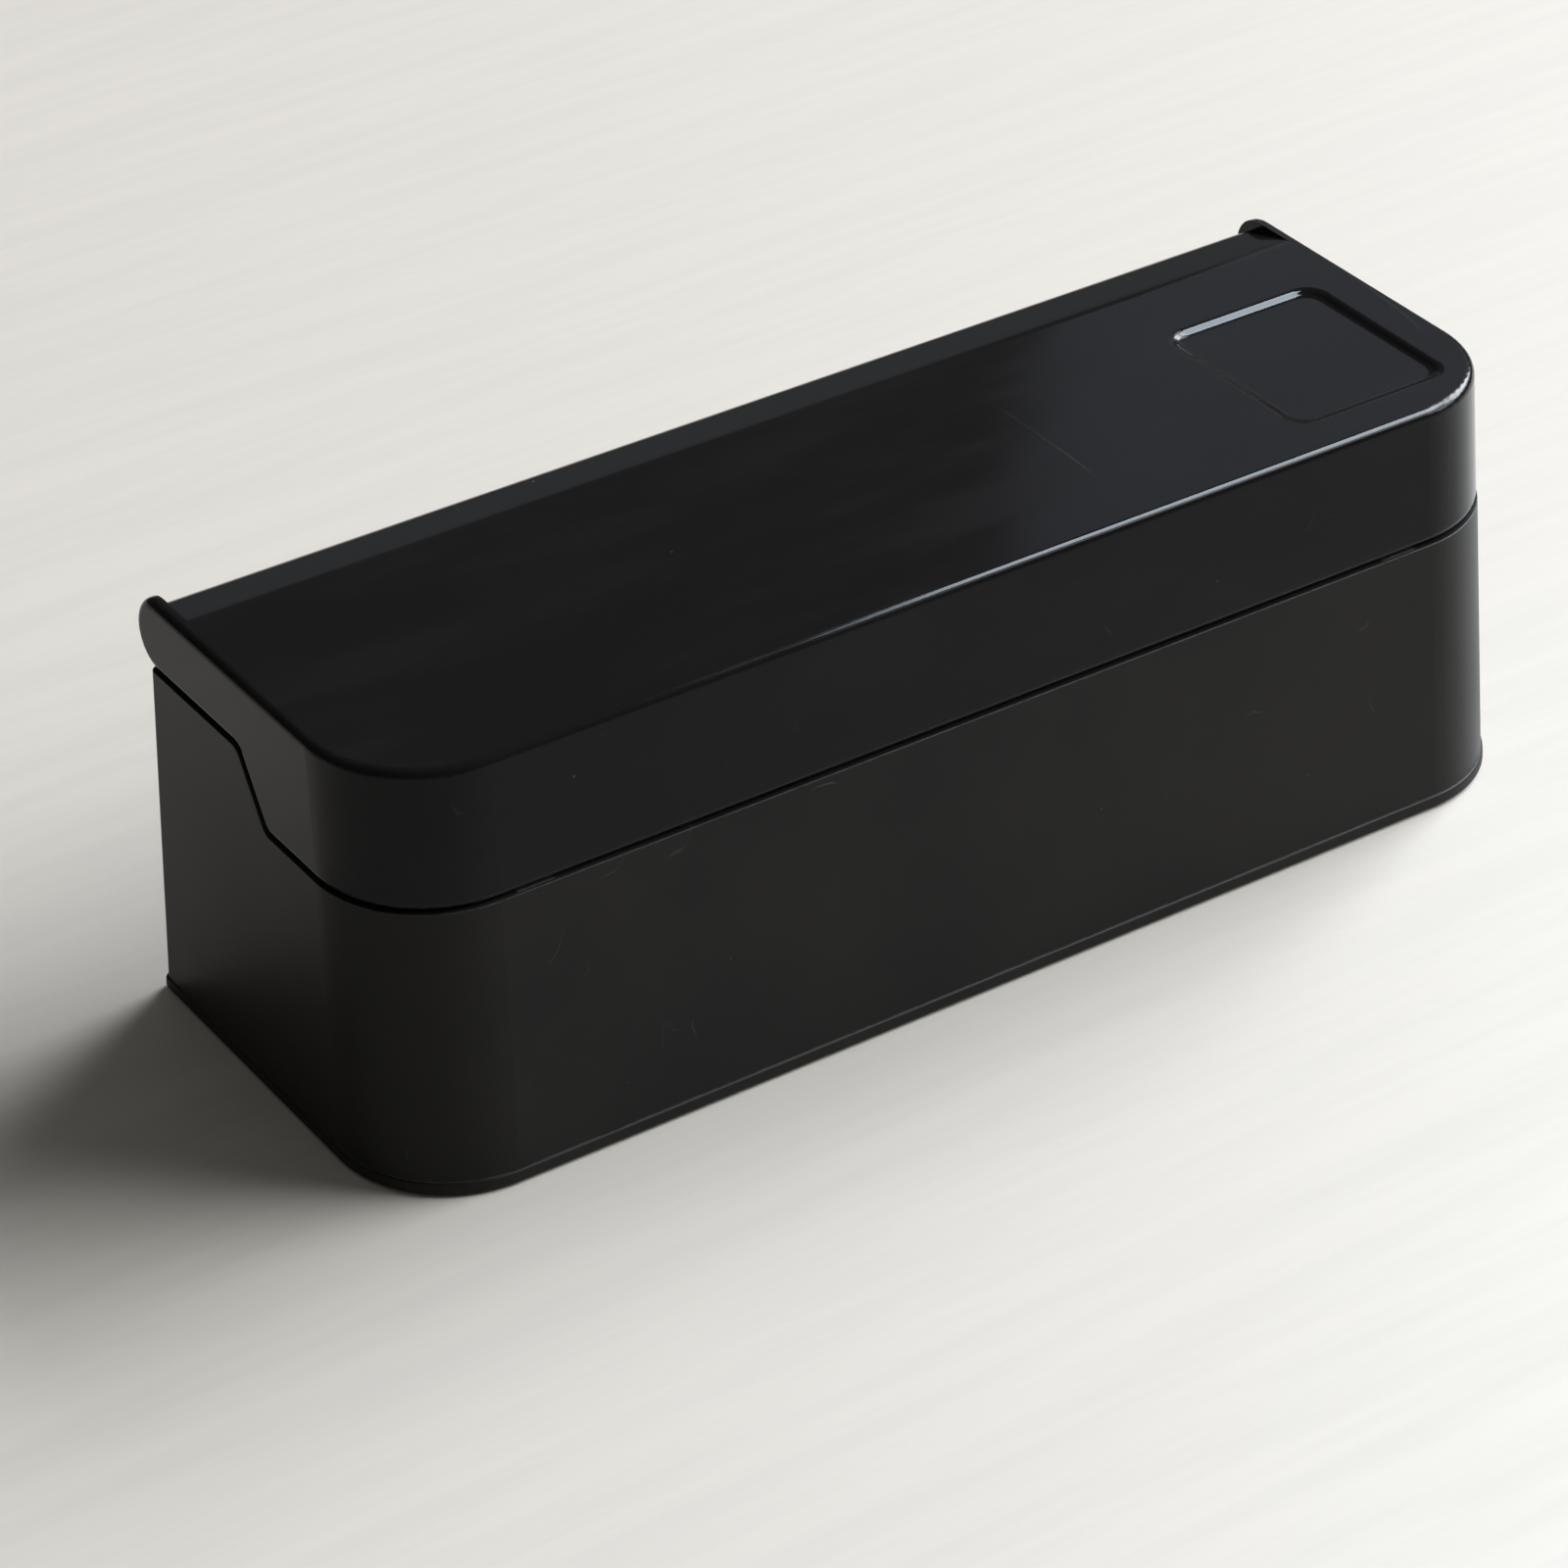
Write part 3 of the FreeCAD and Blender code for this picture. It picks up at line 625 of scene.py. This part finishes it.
class NAPKINBOX_OT_feet(bpy.types.Operator):
    """Presses the four rubber feet with grip rings"""
    bl_idname = "napkinbox.feet"
    bl_label = "Rubber Feet"

    def execute(self, context):
        settings = context.scene.napkinbox_rubber
        material = soft_rubber("foot_rubber_matt", settings)
        for end in ENDS:
            for side in SIDES:
                node = f"foot_{end}_{side}"
                low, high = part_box(node)
                middle = (low + high) / 2
                builder = bmesh.new()
                outline = foot_outline((high.x - low.x) / 2, high.z - low.z, settings.ring_count,
                                       settings.ring_height)
                lathe(builder, outline, Matrix.Translation((middle.x, middle.y, low.z)))
                install(finish_mesh(f"rubber_foot_{end}_{side}", builder, material), [node])
        return {"FINISHED"}


class NAPKINBOX_OT_closing_pads(bpy.types.Operator):
    """Makes the two soft closing pads with rounded, slightly crowned tops"""
    bl_idname = "napkinbox.closing_pads"
    bl_label = "Closing Pads"

    def execute(self, context):
        material = soft_rubber("pad_rubber_soft", context.scene.napkinbox_rubber)
        for side in SIDES:
            node = f"closing_pad_{side}"
            low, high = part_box(node)
            install(finish_mesh(f"soft_pad_{side}", crowned_pad(low, high), material), [node])
        return {"FINISHED"}


def crowned_pad(low, high, across=24, deep=8):
    """A pad that fills the box low..high: its top swells towards the middle and rounds off at the edges."""
    builder = bmesh.new()
    size = high - low
    grid = []
    for i in range(across + 1):
        row = []
        for j in range(deep + 1):
            u, v = i / across, j / deep
            fall = max(abs(2 * u - 1) ** 8, abs(2 * v - 1) ** 6)
            top = high.z - 0.45 * size.z * fall
            row.append(builder.verts.new((low.x + u * size.x, low.y + v * size.y, top)))
        grid.append(row)
    for i in range(across):
        for j in range(deep):
            builder.faces.new((grid[i][j], grid[i + 1][j], grid[i + 1][j + 1], grid[i][j + 1]))
    border = [e for e in builder.edges if e.is_boundary]
    skirt = bmesh.ops.extrude_edge_only(builder, edges=border)["geom"]
    for vert in (g for g in skirt if isinstance(g, bmesh.types.BMVert)):
        vert.co.z = low.z
    bmesh.ops.holes_fill(builder, edges=[e for e in builder.edges if e.is_boundary])
    return builder


def pin_outline(shank_radius, head_radius, head_thickness, length):
    """Outline of a headed pin from the head's face at 0 to the rounded tip at length."""
    round_off = 0.3 * head_thickness
    tip = 0.35 * shank_radius
    outline = [(0.0, 0.06 * head_thickness), (0.75 * head_radius, 0.0)]
    outline += arc((head_radius - round_off, round_off), round_off, -90, 0, 6)
    back_round = 0.1 * round_off
    outline += arc((head_radius - back_round, head_thickness - back_round), back_round, 0, 90, 2)
    outline.append((shank_radius, head_thickness))
    outline += arc((shank_radius - tip, length - tip), tip, 0, 90, 6)
    outline.append((0.0, length))
    return outline


class NAPKINBOX_OT_hinge_pins(bpy.types.Operator):
    """Turns the two headed hinge pins"""
    bl_idname = "napkinbox.hinge_pins"
    bl_label = "Hinge Pins"

    def execute(self, context):
        material = worked_steel("pin_steel_turned", context.scene.napkinbox_steel)
        for side, sign in SIDES.items():
            node = f"hinge_pin_{side}"
            low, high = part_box(node)
            middle = (low + high) / 2
            head_radius = (high.z - low.z) / 2
            start = low.x if sign > 0 else high.x
            facing = Matrix.Rotation(sign * math.pi / 2, 4, "Y")
            place = Matrix.Translation((start, middle.y, middle.z)) @ facing
            builder = bmesh.new()
            outline = pin_outline(PIN_RADIUS, head_radius, PIN_HEAD, high.x - low.x)
            lathe(builder, outline, place, 48)
            install(finish_mesh(f"steel_pin_{side}", builder, material), [node])
        return {"FINISHED"}


def screw_places():
    """Each plate screw's middle and its lower and upper end, from the four solids of its node."""
    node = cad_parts["plate_screws"]
    points = [v.co.copy() for v in node.data.vertices]
    middle = sum(points, Vector()) / len(points)
    places = {}
    for end, away in ENDS.items():
        for side, sign in SIDES.items():
            own = [p for p in points if (p.x - middle.x) * sign > 0 and (p.y - middle.y) * away > 0]
            xs, ys, zs = ([p[i] for p in own] for i in range(3))
            places[f"{end}_{side}"] = (Vector(((min(xs) + max(xs)) / 2, (min(ys) + max(ys)) / 2, min(zs))),
                                       (max(xs) - min(xs)) / 2, max(zs) - min(zs))
    return places


def threaded_screw(builder, place, head_radius, length, settings, segments=32):
    """A countersunk screw, head down: flat head with a rounded rim, cone, and a thread to a blunt tip."""
    rings_per_turn = 12
    tip_length = 1.6 * MM
    tip_share = 0.12
    rim = 0.15 * MM
    head = arc((head_radius - rim, rim), rim, -90, 20, 4)
    outline = [(0.0, 0.0), *head, (SCREW_SHANK, SCREW_HEAD)]
    lathe(builder, outline, place, segments)
    steps = math.ceil((length - SCREW_HEAD) / settings.thread_pitch * rings_per_turn)
    previous = None
    for step in range(steps + 1):
        height = SCREW_HEAD + (length - SCREW_HEAD) * step / steps
        taper = min(1.0, (length - height) / tip_length + tip_share)
        ring = []
        for i in range(segments):
            phase = (height / settings.thread_pitch - i / segments) % 1.0
            crest = max(0.0, 1 - abs(2 * phase - 1) * 1.6)
            radius = (SCREW_SHANK - settings.thread_depth * (1 - crest)) * taper
            turn = 2 * math.pi * i / segments
            point = Vector((radius * math.cos(turn), radius * math.sin(turn), height))
            ring.append(builder.verts.new(place @ point))
        if previous:
            for i in range(segments):
                j = (i + 1) % segments
                builder.faces.new((previous[i], previous[j], ring[j], ring[i]))
        else:
            builder.faces.new(ring)
        previous = ring
    builder.faces.new(previous)


def cross_cutter(place, reach=1.7 * MM, half_width=0.38 * MM, depth=0.85 * MM):
    """The tapered cross of a driver's tip, to cut into a screw head."""
    builder = bmesh.new()
    for turn in (0.0, math.pi / 2):
        spin = place @ Matrix.Rotation(turn, 4, "Z")
        corners = []
        for level, shrink in ((-0.2 * MM, 1.1), (depth, 0.55)):
            across = half_width * (0.5 + shrink / 2)
            for x, y in ((-1, -1), (1, -1), (1, 1), (-1, 1)):
                corner = Vector((x * reach * shrink, y * across, level))
                corners.append(builder.verts.new(spin @ corner))
        for face in ((3, 2, 1, 0), (4, 5, 6, 7), (0, 1, 5, 4), (1, 2, 6, 5), (2, 3, 7, 6), (3, 0, 4, 7)):
            builder.faces.new([corners[i] for i in face])
    return builder


class NAPKINBOX_OT_plate_screws(bpy.types.Operator):
    """Makes the four countersunk plate screws with cut cross recesses and threads"""
    bl_idname = "napkinbox.plate_screws"
    bl_label = "Plate Screws"

    def execute(self, context):
        settings = context.scene.napkinbox_steel
        material = worked_steel("screw_steel_plated", settings)
        first = True
        for where, (point, head_radius, length) in screw_places().items():
            place = Matrix.Translation(point) @ Matrix.Rotation(0.7 * point.x / head_radius, 4, "Z")
            builder = bmesh.new()
            threaded_screw(builder, place, head_radius, length, settings)
            screw = finish_mesh(f"plate_screw_{where}", builder, material)
            cutter = finish_mesh("cross_cutter", cross_cutter(place), material)
            cut = screw.modifiers.new("cross", "BOOLEAN")
            cut.object, cut.solver = cutter, "EXACT"
            cut.use_self = True
            context.view_layer.update()
            solid = screw.evaluated_get(context.evaluated_depsgraph_get())
            screw.modifiers.clear()
            screw.data = bpy.data.meshes.new_from_object(solid)
            bpy.data.objects.remove(cutter)
            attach(screw, "base")
            if first:
                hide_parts("plate_screws")
                first = False
        return {"FINISHED"}


class NAPKINBOX_OT_stage(bpy.types.Operator):
    """Lays the floor and sets the lights, the room and the camera"""
    bl_idname = "napkinbox.stage"
    bl_label = "Floor, Lights and Camera"

    def execute(self, context):
        settings = context.scene.napkinbox_stage
        lay_floor(settings)
        set_lights()
        set_room(context.scene)
        set_camera(context.scene, settings)
        return {"FINISHED"}


def lay_floor(settings):
    """A plain pale floor with barely visible fibres."""
    material, tree, shader, position = start_material("floor_pale")
    drawn = add_node(tree, "ShaderNodeMapping", {"Vector": position, "Scale": (1.0, 12.0, 1.0)})
    fibres = ramp(tree, noise(tree, drawn.outputs["Vector"], 0.12, 5.0, 0.6), 0.3, 0.7)
    dimmed = tuple(0.93 * c for c in settings.floor_colour)
    colour = blend_colours(tree, fibres, rgba(settings.floor_colour), rgba(dimmed))
    set_shader(tree, shader, Base_Color=colour, Roughness=ramp(tree, fibres, 0.0, 1.0, 0.5, 0.56))
    builder = bmesh.new()
    bmesh.ops.create_grid(builder, x_segments=8, y_segments=8, size=settings.floor_width / 2)
    floor = finish_mesh("floor", builder, material)
    floor.location.z = cad_box[0].z


def add_panel_light(name, middle, size, watts, colour):
    """A rectangular soft light at middle that faces LIGHT_AIM."""
    light = bpy.data.lights.new(name, "AREA")
    light.shape = "RECTANGLE"
    light.size, light.size_y = size
    light.energy = watts
    light.color = colour
    made = bpy.data.objects.new(name, light)
    made.location = middle
    made.rotation_mode = "QUATERNION"
    made.rotation_quaternion = (Vector(LIGHT_AIM) - Vector(middle)).to_track_quat("-Z", "Y")
    bpy.context.scene.collection.objects.link(made)
    return made


def set_lights():
    """A wide window on the right, and four panels that only show as reflections in the gloss."""
    for name, light in LIGHTS.items():
        made = add_panel_light(name, **light)
        made.visible_diffuse = name == "window"


def set_room(scene):
    """A dim even room that the gloss mirrors."""
    world = bpy.data.worlds.new("room")
    world.use_nodes = True
    tree = world.node_tree
    direction = tree.nodes.new("ShaderNodeTexCoord").outputs["Generated"]
    height = add_node(tree, "ShaderNodeSeparateXYZ", {"Vector": direction}).outputs["Z"]
    shade = blend_colours(tree, ramp(tree, height, 0.0, 1.0), ROOM_LOW, ROOM_HIGH)
    tree.links.new(shade, tree.nodes["Background"].inputs["Color"])
    scene.world = world
    scene.view_settings.view_transform = "Standard"


def set_camera(scene, settings):
    """Looks down at the front left corner from a few box lengths away."""
    back = Vector((-math.sin(settings.turn) * math.cos(settings.rise),
                   -math.cos(settings.turn) * math.cos(settings.rise), math.sin(settings.rise)))
    level = (-back).cross(Vector((0, 0, 1))).normalized()
    upright = level.cross(-back)
    across = math.cos(settings.roll) * level + math.sin(settings.roll) * upright
    upward = math.cos(settings.roll) * upright - math.sin(settings.roll) * level
    place = Vector(settings.aim) + back * settings.distance
    camera = bpy.data.cameras.new("camera")
    camera.lens = settings.lens
    camera.sensor_width = 36.0
    made = bpy.data.objects.new("camera", camera)
    turned = Matrix((across, upward, back)).transposed().to_4x4()
    made.matrix_world = Matrix.Translation(place) @ turned
    scene.collection.objects.link(made)
    scene.camera = made


class NAPKINBOX_PT_panel(bpy.types.Panel):
    """Lists the pieces that the add-on makes and finishes"""
    bl_idname = "NAPKINBOX_PT_panel"
    bl_label = "Napkin Box"
    bl_space_type = "VIEW_3D"
    bl_region_type = "UI"
    bl_category = "Napkin Box"

    def draw(self, context):
        for operator in OPERATORS:
            self.layout.operator(operator.bl_idname)


SETTINGS = {
    "napkinbox_lid": LidFinish,
    "napkinbox_body": BodyFinish,
    "napkinbox_plate": PlateFinish,
    "napkinbox_rubber": RubberFinish,
    "napkinbox_steel": SteelFinish,
    "napkinbox_stage": StageSettings,
}
OPERATORS = (
    NAPKINBOX_OT_lid, NAPKINBOX_OT_body, NAPKINBOX_OT_plate, NAPKINBOX_OT_feet, NAPKINBOX_OT_closing_pads,
    NAPKINBOX_OT_hinge_pins, NAPKINBOX_OT_plate_screws, NAPKINBOX_OT_stage,
)


def register():
    for kind in (*SETTINGS.values(), *OPERATORS, NAPKINBOX_PT_panel):
        bpy.utils.register_class(kind)
    for name, kind in SETTINGS.items():
        setattr(bpy.types.Scene, name, PointerProperty(type=kind))


def unregister():
    for name in SETTINGS:
        delattr(bpy.types.Scene, name)
    for kind in reversed((*SETTINGS.values(), *OPERATORS, NAPKINBOX_PT_panel)):
        bpy.utils.unregister_class(kind)


def main():
    register()
    for operator in OPERATORS:
        group, call = operator.bl_idname.split(".")
        getattr(getattr(bpy.ops, group), call)()


if __name__ == "__main__":
    main()
